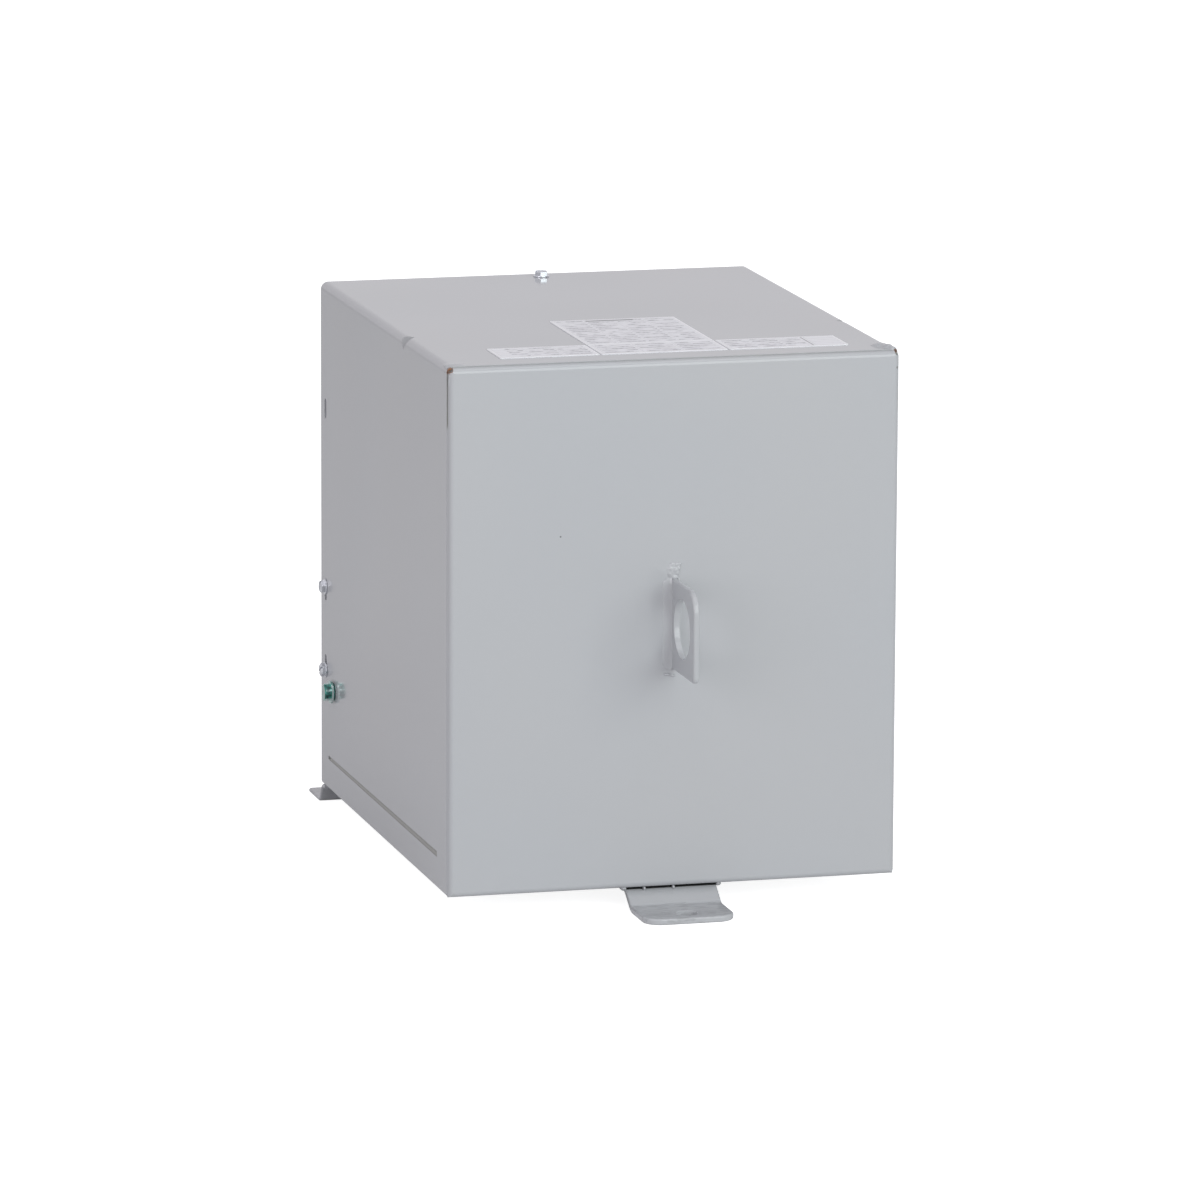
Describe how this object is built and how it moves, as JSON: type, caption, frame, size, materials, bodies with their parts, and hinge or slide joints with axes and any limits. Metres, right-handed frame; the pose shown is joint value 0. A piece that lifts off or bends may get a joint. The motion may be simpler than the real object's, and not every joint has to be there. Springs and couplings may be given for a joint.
{
  "type": "encapsulated dry-type power transformer, wall-mounted",
  "caption": "Resin-filled dry-type power transformer in a light-grey sheet-steel case, with wall-mounting feet, a lifting eye and a screwed wiring-compartment cover.",
  "frame": {"origin": "midpoint between the two rear mounting holes, on the plane of the mounting wall", "axes": "+Z away from the mounting wall, to the nameplate side; +Y from the lifting-eye face to the wiring-compartment cover; +X to the right of someone facing the lifting-eye face"},
  "size_m": [0.3061, 0.444, 0.3582],
  "materials": {
    "grey_paint": "semi-gloss baked enamel",
    "zinc_steel": "bright zinc plate",
    "green_steel": "green dyed zinc plate",
    "label_stock": "satin film",
    "resin": "sand-filled resin"
  },
  "bodies": {
    "root": {"wrapper": "grey_paint", "front_panel": "grey_paint", "base_pan": "grey_paint", "rear_cover": "grey_paint", "knockout_left": "grey_paint", "knockout_right": "grey_paint", "front_foot": "grey_paint", "front_foot_welds": "grey_paint", "rear_foot_rail": "grey_paint", "lifting_eye": "grey_paint", "lifting_eye_weld": "grey_paint", "corner_weld_left": "grey_paint", "corner_weld_right": "grey_paint", "potted_core": "resin", "cover_screw_left_upper": "zinc_steel", "cover_screw_left_lower": "zinc_steel", "cover_screw_right_upper": "zinc_steel", "cover_screw_right_lower": "zinc_steel", "cover_screw_top": "zinc_steel", "ground_screw": "green_steel", "ground_lock_washer": "green_steel", "nameplate": "label_stock", "label_left": "label_stock", "label_middle": "label_stock", "label_right": "label_stock"}
  },
  "joints": []
}
